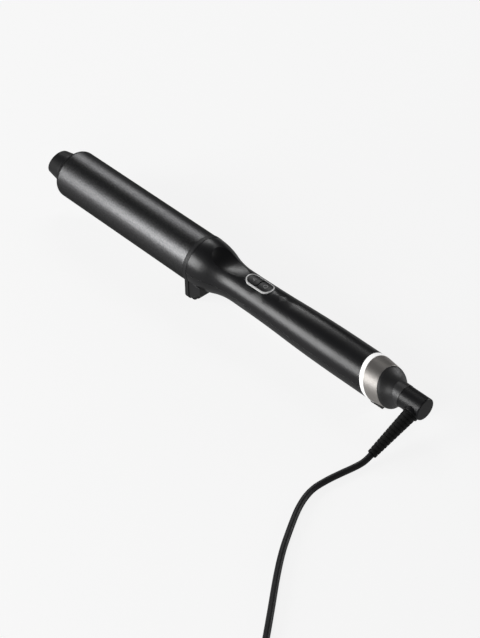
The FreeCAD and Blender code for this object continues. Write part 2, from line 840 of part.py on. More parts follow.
def swivel_body():
    """Rear cylinder and the spigot that turns in the end cap."""
    edge = 0.9
    turned = revolved(
        "swivel_turned",
        [
            (0.0, 0.0),
            (0.0, swivel_radius - edge, -edge),
            (edge, swivel_radius),
            (swivel_length, swivel_radius),
            (swivel_length, spigot_radius),
            (CLIP_REAR - 0.05, spigot_radius),
            (CLIP_REAR - 0.05, 4.2),
            (CLIP_FRONT + 0.05, 4.2),
            (CLIP_FRONT + 0.05, spigot_radius),
            (HUB_REAR, spigot_radius),
            (HUB_REAR, 0.0),
        ],
    )
    saddle = rod("boot_saddle", (0, 0, 0), (1, 0, 0), boot_root_radius + 0.85, 5.6)
    socket = rod("boot_socket", (0, 0, 0), (1, 0, 0), boot_root_radius, 12.0)
    for thing in (saddle, socket):
        thing.Placement = boot_placement(BOOT_SOCKET).multiply(thing.Placement)
    return cut("swivel_body", fuse("swivel_blank", turned, saddle), socket)


def swivel_clip():
    """Spring clip in the spigot's groove, behind the end cap's wall."""
    washer = ring("clip_washer", CLIP_REAR, CLIP_FRONT, 6.6, 4.25)
    mouth = block("clip_mouth", (29, -2.4, 0), (31, 2.4, 8))
    return cut("swivel_clip", washer, mouth)


def strain_relief():
    """Ribbed, tapering cord guard that stands out square from the swivel."""
    neck = 9.9
    ribs = 12
    pitch = (boot_reach.value - neck) / ribs
    taper = (boot_root_radius - boot_tip_radius) / (boot_reach - neck)
    groove_depth, groove_share = 0.5, 0.36
    corners = [(BOOT_SOCKET, 0.0), (BOOT_SOCKET, boot_root_radius)]
    for i in range(ribs):
        start = neck + i * pitch
        wide = boot_root_radius - taper * (start - neck)
        shut = start + pitch * groove_share
        corners.append((start, wide))
        corners.append((start + 0.2, wide - groove_depth))
        corners.append((shut - 0.2, wide - groove_depth))
        corners.append((shut, wide - taper * (shut - start)))
    corners += [(boot_reach, boot_tip_radius), (boot_reach, 0.0)]
    boot = revolved("strain_relief", corners)
    boot.Placement = boot_placement(0.0)
    return boot


def brush(name, y, z):
    """Spring contact pin between the fixed holder and a contact track."""
    length = BRUSH_HOLDER[0] - TRACK_FRONT - 0.06
    return rod(name, (TRACK_FRONT + 0.06, y, z), (1, 0, 0), 0.8, length)


node("swivel_body", swivel_body())
node("swivel_clip", swivel_clip())
node("strain_relief", strain_relief(), on_cord=True)
node("contact_hub", ring("contact_hub", HUB_REAR, HUB_FRONT, 7.0))
node("contact_track_outer", ring("contact_track_outer", HUB_FRONT, TRACK_FRONT, 6.5, 4.9))
node("contact_track_inner", ring("contact_track_inner", HUB_FRONT, TRACK_FRONT, 3.6, 2.0))
node("brush_holder", ring("brush_holder", *BRUSH_HOLDER, cap_cavity_radius - 0.05))
node("brush_live", brush("brush_live", 0.0, 5.7))
node("brush_neutral", brush("brush_neutral", 0.0, -2.8))
for side, label in ((5.5, "mains_wire_live"), (-5.5, "mains_wire_neutral")):
    node(label, rod(label, (BRUSH_HOLDER[1], side, 2.2), (1, 0, 0), 0.9, 55.0))


# ------------------------------------------------------------ rest placement
def check_built():
    doc.recompute()
    for thing in doc.Objects:
        if {"Invalid", "Error"} & set(thing.State):
            raise RuntimeError(f"{thing.Label} failed: {thing.State}")
    for label, thing in NODES.items():
        shape = thing.Shape
        if shape.isNull() or not shape.isValid():
            raise RuntimeError(f"{label} has no valid shape")
        if len(shape.Solids) != 1:
            raise RuntimeError(f"{label} has {len(shape.Solids)} solids")


def settle():
    """Tilt the wand onto its feet, put the floor at z = 0 and centre the wand on x."""
    tilt = Rotation(Y_AXIS, -math.degrees(TILT))
    rise = tilt.multVec(Vector(0, 0, -floor_height(0))).z
    resting = Placement(Vector(0, 0, -rise), tilt)
    box = FreeCAD.BoundBox()
    for label, thing in NODES.items():
        if label not in CORD_NODES:
            shape = thing.Shape.copy()
            shape.Placement = resting.multiply(shape.Placement)
            box.add(shape.optimalBoundingBox(False))
    middle = Placement(Vector(-box.Center.x, 0, 0), Rotation())
    resting = middle.multiply(resting)
    for thing in NODES.values():
        thing.Placement = resting.multiply(thing.Placement)
    return resting


check_built()
RESTING = settle()


# --------------------------------------------------------------------- cord
# The cord's route from the strain relief's mouth: steps along x and y from the
# mouth, and the height of the cord's middle above the floor.
CORD_ROUTE = [
    (0.0, 3.1, 3.6),
    (0.1, 6.3, 2.8),
    (0.45, 9.8, 2.3),
    (1.5, 16.0, 2.2),
    (3.5, 25.0, 2.2),
    (5.6, 36.5, 2.2),
    (6.4, 49.0, 2.2),
    (1.9, 63.5, 2.2),
    (-7.2, 80.0, 2.2),
    (-22.3, 104.8, 2.2),
    (-56.6, 147.3, 2.2),
    (-89.1, 189.8, 2.2),
]
# The rest is wound into a coil: rings side by side and one on the other.
COIL_INNER_TURN = 18.6
COIL_COLUMNS, COIL_LAYERS = 4, 4
COIL_LEAD_IN = 14.0
# The stretch from the coil's top turn down to the plug: steps along it, and heights.
TAIL_ANGLE = 150.0
TAIL_ROUTE = [(0.0, 15.4), (12.0, 14.4), (24.0, 8.0), (36.0, 7.0)]
COIL_SLACK = 0.3
MOUTH_GAP = 0.25
PLUG_GAP = 0.3
PLUG_HALF_HEIGHT = 7.0


def cord_mouth():
    tip = boot_placement(boot_reach.value)
    return RESTING.multVec(tip.Base), RESTING.Rotation.multVec(tip.Rotation.multVec(X_AXIS))


def cord_wire(points):
    """Straight runs joined by arcs as large as the runs beside them allow."""
    radii, edges = [], []
    start = points[0]
    for before, corner, after in zip(points, points[1:], points[2:], strict=False):
        run_in, run_out = corner - before, after - corner
        turn = run_in.getAngle(run_out)
        reach = 0.45 * min(run_in.Length, run_out.Length)
        radius = reach / math.tan(turn / 2)
        first = corner - run_in.normalize() * reach
        last = corner + run_out.normalize() * reach
        inward = (first + last - corner * 2).normalize()
        middle = corner + inward * (radius / math.cos(turn / 2) - radius)
        edges.append(Part.LineSegment(start, first).toShape())
        edges.append(Part.Arc(first, middle, last).toShape())
        radii.append(radius)
        start = last
    edges.append(Part.LineSegment(start, points[-1]).toShape())
    return Part.Wire(edges), radii


def cord_tube(name, points):
    """A plain round tube along the route; prints its bends and checks its volume."""
    wire, radii = cord_wire(points)
    section = Part.Wire([Part.makeCircle(cord_radius.value, points[0], points[1] - points[0])])
    thing = doc.addObject("Part::Feature", name)
    thing.Shape = wire.makePipeShell([section], True, False)
    share = thing.Shape.Volume / (math.pi * cord_radius.value**2 * wire.Length)
    print(f"{name}: length {wire.Length:.1f} mm, radii {[round(r) for r in radii]}")
    print(f"{name}: volume is {share:.4f} of its section times its length")
    return node(name, thing, on_cord=True), wire.Length


def coil_solid(centre):
    """The outer shape of the coil: a plain thick ring lying on the floor."""
    outer = COIL_OUTER_TURN + cord_radius.value + COIL_SLACK
    inner = COIL_INNER_TURN - cord_radius.value - COIL_SLACK
    height = 2 * cord_radius.value * COIL_LAYERS
    outside = rod("coil_outside", centre, (0, 0, 1), outer, height)
    return cut("cord_coil", outside, rod("coil_inside", centre, (0, 0, 1), inner, height))


def plug_pieces(front, turned):
    """Flat two pin plug lying on the floor; its front face is where the blades leave it."""
    rest = Placement(Vector(front.x, front.y, 0), Rotation(Z_AXIS, turned))
    side = [(0.0, 11.0), (16.0, 11.0), (24.0, 5.5), (27.0, 4.4)]
    corners = [(x, -y) for x, y in side] + [(x, y) for x, y in reversed(side)]
    body = extruded("plug_blank", "XY_Plane", corners, 2 * PLUG_HALF_HEIGHT)
    guard = doc.addObject("Part::Cone", "plug_guard")
    guard.Radius1, guard.Radius2, guard.Height = 4.2, 3.2, 15.0
    guard.Placement = Placement(Vector(27.0, 0, PLUG_HALF_HEIGHT), Rotation(Z_AXIS, X_AXIS))
    whole = fuse("plug_body", body, guard)
    whole.Placement = rest
    pieces = {"plug_body": whole}
    for index, across in enumerate((-6.35, 6.35)):
        low = (-16.0, across - 0.75, PLUG_HALF_HEIGHT - 3.15)
        high = (0.0, across + 0.75, PLUG_HALF_HEIGHT + 3.15)
        blade = block(f"plug_blade_{index + 1}", low, high)
        blade.Placement = rest.multiply(blade.Placement)
        pieces[blade.Name] = blade
    return pieces


mouth, mouth_direction = cord_mouth()
route = [Vector(mouth.x + x, mouth.y + y, z) for x, y, z in CORD_ROUTE]
route.insert(0, mouth + mouth_direction * MOUTH_GAP)
_, tube_length = cord_tube("cord_tube", route)

COIL_OUTER_TURN = COIL_INNER_TURN + (COIL_COLUMNS - 1) * 2 * cord_radius.value
arriving = (route[-1] - route[-2]).normalize()
beside = Vector(-arriving.y, arriving.x, 0)
coil_centre = route[-1] + arriving * COIL_LEAD_IN + beside * COIL_OUTER_TURN
coil_centre.z = 0
node("cord_coil", coil_solid(coil_centre), on_cord=True)

leaving = Vector(
    -math.sin(math.radians(TAIL_ANGLE)), math.cos(math.radians(TAIL_ANGLE)), 0
)
tail_start = coil_centre + Vector(leaving.y, -leaving.x, 0) * COIL_OUTER_TURN
tail = [tail_start + leaving * along + Z_AXIS * z for along, z in TAIL_ROUTE]
_, tail_length = cord_tube("cord_tail", tail)
plug_front = tail_start + leaving * (TAIL_ROUTE[-1][0] + 42.0 + PLUG_GAP)
for label, piece in plug_pieces(plug_front, TAIL_ANGLE - 90).items():
    node(label, piece, on_cord=True)
check_built()

# -------------------------------------------------------------------- output
os.makedirs("parts", exist_ok=True)
for label, thing in NODES.items():
    thing.Shape.exportStep(f"parts/{label}.step")

whole = FreeCAD.BoundBox()
wand = FreeCAD.BoundBox()
for label, thing in NODES.items():
    box = thing.Shape.optimalBoundingBox(False)
    whole.add(box)
    if label not in CORD_NODES:
        wand.add(box)
print("wand", wand)
print("whole", whole)
print("nodes", len(NODES))
print("tilt degrees", math.degrees(TILT), "boot drop", math.degrees(BOOT_DROP))
print("axis point", RESTING.multVec(Vector(0, 0, 0)), "direction", RESTING.Rotation.multVec(X_AXIS))
print("key direction", RESTING.Rotation.multVec(Z_AXIS))
turns = COIL_COLUMNS * COIL_LAYERS - 1 + (TAIL_ANGLE - math.degrees(
    math.atan2(-beside.y, -beside.x))) / 360
print("mouth", mouth, mouth_direction, "coil centre", coil_centre, "turns", turns)
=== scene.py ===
import json
import math

import bmesh
import bpy
from mathutils import Matrix, Quaternion, Vector


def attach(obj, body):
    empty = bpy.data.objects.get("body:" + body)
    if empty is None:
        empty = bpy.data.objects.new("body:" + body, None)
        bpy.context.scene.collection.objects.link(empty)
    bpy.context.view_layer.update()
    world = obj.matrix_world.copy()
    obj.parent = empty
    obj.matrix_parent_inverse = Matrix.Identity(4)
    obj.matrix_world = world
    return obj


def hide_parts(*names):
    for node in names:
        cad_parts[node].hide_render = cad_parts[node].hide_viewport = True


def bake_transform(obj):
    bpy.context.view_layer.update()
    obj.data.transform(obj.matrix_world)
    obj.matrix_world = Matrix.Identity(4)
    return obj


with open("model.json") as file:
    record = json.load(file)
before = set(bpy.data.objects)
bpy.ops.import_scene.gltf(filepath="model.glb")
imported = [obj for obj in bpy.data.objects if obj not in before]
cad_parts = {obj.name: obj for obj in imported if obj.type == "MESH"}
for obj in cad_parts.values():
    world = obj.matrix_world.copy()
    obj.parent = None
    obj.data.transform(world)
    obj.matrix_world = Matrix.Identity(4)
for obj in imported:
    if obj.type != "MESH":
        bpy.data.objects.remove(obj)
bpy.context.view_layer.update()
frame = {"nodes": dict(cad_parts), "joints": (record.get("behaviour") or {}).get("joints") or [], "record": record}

NODES = frame["nodes"]
MM = 0.001

# The wand lies a little nose up.  Its own axes are read from its swivel joint:
# along towards the tip, across to the left side and up through the keys.
SWIVEL = next(j for j in frame["joints"] if j["name"] == "cord_swivel")
TAIL = Vector(SWIVEL["pos_m"])
ALONG = Vector(SWIVEL["axis"]).normalized()
ACROSS = Vector((0, 1, 0))
UPWARD = ALONG.cross(ACROSS)


def on_wand(x, y, z):
    """A point given in millimetres in the wand's own axes, from the swivel's rear end."""
    return TAIL + (ALONG * x + ACROSS * y + UPWARD * z) * MM


# -------------------------------------------------------------------- camera
# It looks down on the wand from behind its tail, on its left, rolled a little.  Metres.
AIM = Vector((-0.0459, 0.0290, 0.0291))
VIEW = Vector((0.57322, -0.52026, -0.63305)).normalized()
DISTANCE = 1.2
ROLL = math.radians(1.7)
LENS = 99.4
CLIP_END = 20.0


def add_camera():
    """The one camera, with a long lens, so that the view is nearly parallel."""
    data = bpy.data.cameras.new("camera")
    data.lens = LENS
    data.clip_end = CLIP_END
    camera = bpy.data.objects.new("camera", data)
    bpy.context.scene.collection.objects.link(camera)
    camera.location = AIM - VIEW * DISTANCE
    level = VIEW.to_track_quat("-Z", "Y")
    camera.rotation_mode = "QUATERNION"
    camera.rotation_quaternion = Quaternion(VIEW, ROLL) @ level
    bpy.context.scene.camera = camera


add_camera()


# ---------------------------------------------------------------- mesh tools
def add_mesh(name, build, smooth=True):
    """A new mesh object filled by build(bm)."""
    mesh = bpy.data.meshes.new(name)
    bm = bmesh.new()
    build(bm)
    bmesh.ops.recalc_face_normals(bm, faces=bm.faces)
    bm.to_mesh(mesh)
    bm.free()
    for face in mesh.polygons:
        face.use_smooth = smooth
    piece = bpy.data.objects.new(name, mesh)
    bpy.context.scene.collection.objects.link(piece)
    return piece


def skin_rings(bm, rings, closed=False):
    """Joins rings of points with quads, and then caps the two ends or joins them too."""
    loops = [[bm.verts.new(point) for point in ring] for ring in rings]
    pairs = list(zip(loops, loops[1:]))
    if closed:
        pairs.append((loops[-1], loops[0]))
    for near, far in pairs:
        for i in range(len(near)):
            k = (i + 1) % len(near)
            bm.faces.new((near[i], near[k], far[k], far[i]))
    if not closed:
        bm.faces.new(loops[0][::-1])
        bm.faces.new(loops[-1])


def frames_along(path):
    """For each point of a path, two directions square to it that don't twist."""
    tangents = []
    for i, point in enumerate(path):
        before, after = path[max(i - 1, 0)], path[min(i + 1, len(path) - 1)]
        tangents.append((after - before).normalized())
    side = tangents[0].cross(Vector((0, 0, 1))).normalized()
    frames = []
    for i, tangent in enumerate(tangents):
        if i:
            side = tangents[i - 1].rotation_difference(tangent) @ side
        side = (side - tangent * side.dot(tangent)).normalized()
        frames.append((side, tangent.cross(side)))
    return frames


def tube_along(name, path, radius, sides=18):
    """A round tube whose middle follows the path."""
    rings = []
    for point, (side, up) in zip(path, frames_along(path)):
        turn = [2 * math.pi * k / sides for k in range(sides)]
        rings.append([point + (side * math.cos(a) + up * math.sin(a)) * radius for a in turn])
    return add_mesh(name, lambda bm: skin_rings(bm, rings))


# ---------------------------------------------------------------------- cord
# The mouth is the open end of the strain relief.  Places and lengths are in metres.
MOUTH = Vector((-0.18317, 0.04290, 0.00471))
MOUTH_DIRECTION = Vector((0.01138, 0.94291, -0.33285))
MOUTH_GAP = 0.25 * MM
CORD_RADIUS = 2.2 * MM
# Each point: steps along x and y from the mouth, and the height above the floor.
CORD_ROUTE = [
    (0.0, 0.0031, 0.0036),
    (0.0001, 0.0063, 0.0028),
    (0.00045, 0.0098, 0.0023),
    (0.0015, 0.0160, 0.0022),
    (0.0035, 0.0250, 0.0022),
    (0.0056, 0.0365, 0.0022),
    (0.0064, 0.0490, 0.0022),
    (0.0019, 0.0635, 0.0022),
    (-0.0072, 0.0800, 0.0022),
    (-0.0223, 0.1048, 0.0022),
    (-0.0566, 0.1473, 0.0022),
    (-0.0891, 0.1898, 0.0022),
]
# The coil: the radius of its inner turn, its turns side by side and its layers, the straight
# run into it, the angle at which the cord leaves it, and how a turn is drawn.
COIL_INNER_TURN = 18.6 * MM
COIL_COLUMNS, COIL_LAYERS = 4, 4
COIL_OUTER_TURN = COIL_INNER_TURN + (COIL_COLUMNS - 1) * 2 * CORD_RADIUS
COIL_LEAD_IN = 14.0 * MM
TAIL_ANGLE = math.radians(150)
POINTS_PER_TURN = 16
JOG_SHARE = 0.18
# From the coil to the plug: steps along the leaving direction, and heights.
TAIL_ROUTE = [(0.0, 0.0154), (0.0120, 0.0144), (0.0240, 0.0080), (0.0360, 0.0070)]


def coil_points(centre, start_angle):
    """Turns side by side in layers; each turn ends in a short jog to the next one."""
    spacing = 2 * CORD_RADIUS
    slots = []
    for layer in range(COIL_LAYERS):
        columns = range(COIL_COLUMNS)
        inward = layer % 2 == 0
        for column in reversed(columns) if inward else columns:
            slots.append((COIL_INNER_TURN + column * spacing, CORD_RADIUS + layer * spacing))
    last_share = ((TAIL_ANGLE - start_angle) / (2 * math.pi)) % 1.0
    turns = len(slots) - 1 + last_share
    points = []
    count = round(turns * POINTS_PER_TURN)
    for i in range(count):
        done = i * turns / count
        turn = int(done)
        radius, height = slots[turn]
        jog = (done - turn - (1 - JOG_SHARE)) / JOG_SHARE
        if jog > 0 and turn + 1 < len(slots):
            ease = jog * jog * (3 - 2 * jog)
            radius += (slots[turn + 1][0] - radius) * ease
            height += (slots[turn + 1][1] - height) * ease
        angle = start_angle + 2 * math.pi * done
        out = Vector((math.cos(angle), math.sin(angle), 0)) * radius
        points.append(centre + out + Vector((0, 0, height)))
    return points


def cord_points():
    """The whole cord, along the floor, round the coil and down to the plug.

    Also the coil's centre on the floor, and the direction in which the cord leaves it.
    """
    route = [MOUTH + MOUTH_DIRECTION * MOUTH_GAP]
    route += [Vector((MOUTH.x + x, MOUTH.y + y, z)) for x, y, z in CORD_ROUTE]
    arriving = (route[-1] - route[-2]).normalized()
    beside = Vector((-arriving.y, arriving.x, 0))
    centre = route[-1] + arriving * COIL_LEAD_IN + beside * COIL_OUTER_TURN
    centre.z = 0
    route += coil_points(centre, math.atan2(-beside.y, -beside.x))
    leaving = Vector((-math.sin(TAIL_ANGLE), math.cos(TAIL_ANGLE), 0))
    start = centre + Vector((leaving.y, -leaving.x, 0)) * COIL_OUTER_TURN
    route += [start + leaving * along + Vector((0, 0, z)) for along, z in TAIL_ROUTE]
    return route, centre, leaving


def spline_path(name, points):
    """Points of the smooth line that a NURBS spline draws from its control points."""
    curve = bpy.data.curves.new(name, "CURVE")
    curve.dimensions = "3D"
    spline = curve.splines.new("NURBS")
    spline.points.add(len(points) - 1)
    for slot, point in zip(spline.points, points):
        slot.co = (*point, 1)
    spline.order_u = 3
    spline.use_endpoint_u = True
    spline.resolution_u = 8
    holder = bpy.data.objects.new(name, curve)
    bpy.context.scene.collection.objects.link(holder)
    bpy.context.view_layer.update()
    evaluated = holder.evaluated_get(bpy.context.evaluated_depsgraph_get())
    mesh = bpy.data.meshes.new_from_object(evaluated)
    path = [vertex.co.copy() for vertex in mesh.vertices]
    bpy.data.objects.remove(holder)
    bpy.data.meshes.remove(mesh)
    return path


CORD_POINTS, COIL_CENTRE, LEAVING = cord_points()
CORD_PATH = spline_path("cord_line", CORD_POINTS)
cord = tube_along("mains_cord", CORD_PATH, CORD_RADIUS)
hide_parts("cord_tube", "cord_coil", "cord_tail")
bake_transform(cord)


def coil_tie():
    """A flat strap wrapped once round the coil's bundle of turns."""
    angle = math.radians(-60)
    out = Vector((math.cos(angle), math.sin(angle), 0))
    along = Vector((-out.y, out.x, 0))
    low, high = COIL_INNER_TURN - CORD_RADIUS, COIL_OUTER_TURN + CORD_RADIUS
    top = COIL_LAYERS * 2 * CORD_RADIUS
    thick, wide, corner = 0.9 * MM, 9 * MM, 2.6 * MM
    floor_gap, squeezed = 0.05 * MM, 0.2
    steps, step_angle = 7, 15
    outline = []
    for cx, cz, first in (
        (high - corner, top - corner, 0),
        (low + corner, top - corner, 90),
        (low + corner, corner, 180),
        (high - corner, corner, 270),
    ):
        for step in range(steps):
            a = math.radians(first + step * step_angle)
            outline.append((cx, cz, Vector((math.cos(a), math.sin(a)))))
    rings = []
    for cx, cz, way in outline:
        ring = []
        for inset, slide in ((0, -wide / 2), (thick, -wide / 2), (thick, wide / 2), (0, wide / 2)):
            reach = corner + inset
            height = max(cz + way.y * reach, floor_gap + (thick - inset) * squeezed)
            ring.append(COIL_CENTRE + out * (cx + way.x * reach) + along * slide
                        + Vector((0, 0, height)))
        rings.append(ring)
    return add_mesh("coil_tie", lambda bm: skin_rings(bm, rings, closed=True), smooth=False)


tie = coil_tie()
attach(tie, "wand")


# ---------------------------------------------------------------------- plug
# How far its front face is from the end of the cord, and how high its middle is.
PLUG_LENGTH = 42.3 * MM
PLUG_HEIGHT = 7 * MM
PLUG_SIDES = 40
# The ribs of the cord guard, in millimetres.
GUARD_START, GUARD_END = 27.6, 42.0
GUARD_RIBS, RIB_STEP, RIB_DEPTH = 5, 2.8, 0.6


def plug_shell():
    """Flat plug with soft corners, moulded in one with its ribbed cord guard."""
    front = COIL_CENTRE + Vector((LEAVING.y, -LEAVING.x, 0)) * COIL_OUTER_TURN
    front += LEAVING * (TAIL_ROUTE[-1][0] + PLUG_LENGTH) + Vector((0, 0, PLUG_HEIGHT))
    along = -LEAVING
    across = Vector((-along.y, along.x, 0))
    # Stations from the front face back, in millimetres: the place, half the width, half the
    # height and how square the outline is, where 2 is round.
    stations = [
        (0.0, 9.6, 5.7, 4), (0.35, 10.4, 6.4, 4), (1.4, 10.9, 6.9, 4), (8.0, 10.9, 6.9, 4),
        (9.0, 10.2, 6.3, 4), (12.0, 10.2, 6.3, 4), (13.0, 10.9, 6.9, 4), (16.5, 10.7, 6.9, 4),
        (20.5, 8.3, 6.4, 3.5), (24.0, 5.6, 5.3, 3), (26.6, 4.3, 4.3, 2),
    ]
    for rib in range(GUARD_RIBS):
        start, crest = GUARD_START + rib * RIB_STEP, 4.15 - rib * 0.19
        for place, radius in (
            (0.0, crest - RIB_DEPTH),
            (0.7, crest - RIB_DEPTH),
            (0.9, crest),
            (2.3, crest - 0.06),
        ):
            stations.append((start + place, radius, radius, 2))
    stations.append((GUARD_END, 3.1, 3.1, 2))
    rings = []
    for place, wide, high, square in stations:
        ring = []
        for step in range(PLUG_SIDES):
            turn = 2 * math.pi * step / PLUG_SIDES
            c, s = math.cos(turn), math.sin(turn)
            y = math.copysign(abs(c) ** (2 / square), c) * wide
            z = math.copysign(abs(s) ** (2 / square), s) * high
            ring.append(front + (along * place + across * y + Vector((0, 0, z))) * MM)
        rings.append(ring)
    return add_mesh("mains_plug", lambda bm: skin_rings(bm, rings))


plug = plug_shell()
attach(plug, "wand")
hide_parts("plug_body")


# --------------------------------------------------------------- key symbols
# In millimetres: the middle of the two keys along the wand, the radius of their crown, how far
# each symbol is from the middle, and how deep and how proud a mark's skin is.
KEYS_PLACE = 154.4
KEY_CROWN = 13.75
SYMBOL_PLACE = 5.4
MARK_SUNK, MARK_PROUD = -0.06, 0.03
RING_CORNERS, ARROW_CORNERS = 32, 3


def key_print(name, body, inner, outer):
    """A thin printed mark on a key's crown, between two lines of (along, across) points."""
    edges = ((inner, MARK_SUNK), (inner, MARK_PROUD), (outer, MARK_PROUD), (outer, MARK_SUNK))

    def build(bm):
        rows = []
        for line, lift in edges:
            row = []
            for x, y in line:
                up = math.sqrt(KEY_CROWN**2 - y * y) + lift
                row.append(bm.verts.new(on_wand(KEYS_PLACE + x, y, up)))
            rows.append(row)
        for near, far in zip(rows, rows[1:] + rows[:1]):
            for i in range(len(near)):
                k = (i + 1) % len(near)
                bm.faces.new((near[i], near[k], far[k], far[i]))

    mark = add_mesh(name, build, smooth=False)
    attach(mark, body)
    return mark


def circle_line(x, radius, corners):
    """The corners of a regular polygon about (x, 0), the first one straight ahead."""
    turn = [2 * math.pi * k / corners for k in range(corners)]
    return [(x + radius * math.cos(a), radius * math.sin(a)) for a in turn]


def key_symbol(name, body, x, inner, outer, corners):
    """A symbol of even width between two polygons about the same middle."""
    return key_print(name, body, circle_line(x, inner, corners), circle_line(x, outer, corners))


MARKS = [
    key_symbol("power_ring", "key_rear", -SYMBOL_PLACE, 1.35, 1.65, RING_CORNERS),
    key_symbol("step_arrow", "key_front", SYMBOL_PLACE, 0.95, 1.7, ARROW_CORNERS),
]


# ----------------------------------------------------------------- materials
class Nodes:
    """A short way to add linked shader nodes to a material."""

    # Where the inputs and the output for colours are on Blender's Mix node.
    MIX_SHARE, MIX_FIRST, MIX_SECOND, MIX_RESULT = 0, 6, 7, 2

    def __init__(self, name, **sockets):
        self.material = bpy.data.materials.new(name)
        self.material.use_nodes = True
        self.tree = self.material.node_tree
        self.shader = self.tree.nodes["Principled BSDF"]
        for key, value in sockets.items():
            self.shader.inputs[key.replace("_", " ")].default_value = value
        self.place = self.add("ShaderNodeTexCoord").outputs["Object"]

    def add(self, kind, links=(), **settings):
        """A new node, with its settings and sockets set and its inputs linked."""
        node = self.tree.nodes.new(kind)
        for key, value in settings.items():
            if key in node.inputs.keys():
                node.inputs[key].default_value = value
            else:
                setattr(node, key, value)
        for key, source in dict(links).items():
            self.tree.links.new(source, node.inputs[key])
        return node

    def link(self, source, socket):
        """Feeds one of the main shader's inputs."""
        self.tree.links.new(source, self.shader.inputs[socket])

    def noise(self, scale, detail=3.0, stretch=(1, 1, 1), rough=0.5):
        """Noise over the piece; scale is in cells per metre."""
        mapping = self.add("ShaderNodeMapping", {"Vector": self.place}, Scale=stretch)
        node = self.add(
            "ShaderNodeTexNoise",
            {"Vector": mapping.outputs["Vector"]},
            Scale=scale,
            Detail=detail,
            Roughness=rough,
        )
        return node.outputs["Fac"]

    def spread(self, source, low, high, start=0.3, end=0.7):
        """Stretches start..end to low..high; the defaults suit noise."""
        node = self.add("ShaderNodeMapRange", {"Value": source})
        for key, value in zip(("From Min", "From Max", "To Min", "To Max"),
                              (start, end, low, high)):
            node.inputs[key].default_value = value
        return node.outputs["Result"]

    def blend(self, share, first, second):
        """A mix of two colours, each a socket or three numbers."""
        node = self.add("ShaderNodeMix", data_type="RGBA")
        self.tree.links.new(share, node.inputs[self.MIX_SHARE])
        for place, colour in ((self.MIX_FIRST, first), (self.MIX_SECOND, second)):
            if isinstance(colour, bpy.types.NodeSocket):
                self.tree.links.new(colour, node.inputs[place])
            else:
                node.inputs[place].default_value = (*colour, 1)
        return node.outputs[self.MIX_RESULT]

    def math(self, operation, a, b):
        """A sum or the like of two values, each a socket or a number."""
        node = self.add("ShaderNodeMath", operation=operation)
        for socket, value in zip(node.inputs, (a, b)):
            if isinstance(value, bpy.types.NodeSocket):
                self.tree.links.new(value, socket)
            else:
                socket.default_value = value
        return node.outputs[0]

    def edges(self, radius):
        """Where an edge is nearby, 1; elsewhere 0.  Also the rounded normal."""
        round_off = self.add("ShaderNodeBevel", Radius=radius, samples=4)
        geometry = self.add("ShaderNodeNewGeometry")
        meet = self.add("ShaderNodeVectorMath", operation="DOT_PRODUCT")
        self.tree.links.new(round_off.outputs["Normal"], meet.inputs[0])
        self.tree.links.new(geometry.outputs["Normal"], meet.inputs[1])
        mask = self.spread(meet.outputs["Value"], 1.0, 0.0, 0.75, 0.98)
        return mask, round_off.outputs["Normal"]

    def bump(self, height, distance, strength=1.0, normal=None):
        """A normal that is roughened by the height, on top of the given one if any."""
        links = {"Height": height}
        if normal is not None:
            links["Normal"] = normal
        node = self.add("ShaderNodeBump", links, Distance=distance, Strength=strength)
        return node.outputs["Normal"]


GRAIN_SCALE = 1.6 * MM


def lighter(colour, factor):
    """The colour times the factor, held at white."""
    return tuple(min(1.0, c * factor) for c in colour)


def moulded(name, colour, rough, grain=0.012, wear=1.6, **sockets):
    """Moulded plastic: faint spark texture, handling marks and softened, paler edges.

    Grain is the depth of the texture, and wear says how much paler an edge is.
    """
    m = Nodes(name, **sockets)
    mask, rounded = m.edges(0.35 * MM)
    patches = m.spread(m.noise(38, 4), 0.0, 1.0)
    body = m.blend(patches, colour, lighter(colour, 1.25))
    m.link(m.blend(m.math("MULTIPLY", mask, 0.6), body, lighter(colour, wear)), "Base Color")
    smears = m.spread(m.noise(40, 3), rough - 0.02, rough + 0.03)
    specks = m.spread(m.noise(900, 2), -0.02, 0.02)
    m.link(m.math("ADD", m.math("ADD", smears, specks), m.math("MULTIPLY", mask, 0.06)),
           "Roughness")
    m.link(m.bump(m.noise(1300, 4, rough=0.7), grain * GRAIN_SCALE, 0.7, rounded), "Normal")
    return m.material


def coated_barrel():
    """Satin ceramic coating over aluminium, with fine turning marks round the barrel."""
    m = Nodes("barrel_ceramic", Metallic=1.0)
    m.shader.inputs["Specular Tint"].default_value = (0.45, 0.45, 0.45, 1)
    fine = m.noise(750, 4, rough=0.75)
    rings = m.noise(420, 2, (8, 0.4, 0.4))
    colour = m.blend(m.spread(fine, 0.0, 1.0), (0.085, 0.085, 0.087), (0.155, 0.155, 0.157))
    m.link(colour, "Base Color")
    smears = m.spread(m.noise(30, 3, (0.5, 1.5, 1.5)), 0.37, 0.40)
    m.link(m.math("ADD", smears, m.spread(rings, -0.02, 0.02)), "Roughness")
    height = m.math("ADD", m.math("MULTIPLY", rings, 0.5), fine)
    m.link(m.bump(height, 0.035 * MM, 0.8), "Normal")
    return m.material


def brushed(name, colour, rough, stretch, metal=1.0):
    """Brushed metal: long fine scratches, a slightly uneven shine, and edges painted paler as a painted highlight,
    a bright line along each rim.
    """
    m = Nodes(name, Metallic=metal)
    mask, rounded = m.edges(0.3 * MM)
    lines = m.noise(1300, 3, stretch, 0.6)
    tone = m.blend(m.spread(lines, 0.0, 1.0), lighter(colour, 0.93), lighter(colour, 1.05))
    # Edges are painted paler: a painted highlight along each rim.
    m.link(m.blend(m.math("MULTIPLY", mask, 0.7), tone, lighter(colour, 1.35)), "Base Color")
    m.link(m.spread(lines, rough - 0.04, rough + 0.05), "Roughness")
    m.link(m.bump(lines, 0.006 * MM, 0.4, rounded), "Normal")
    return m.material


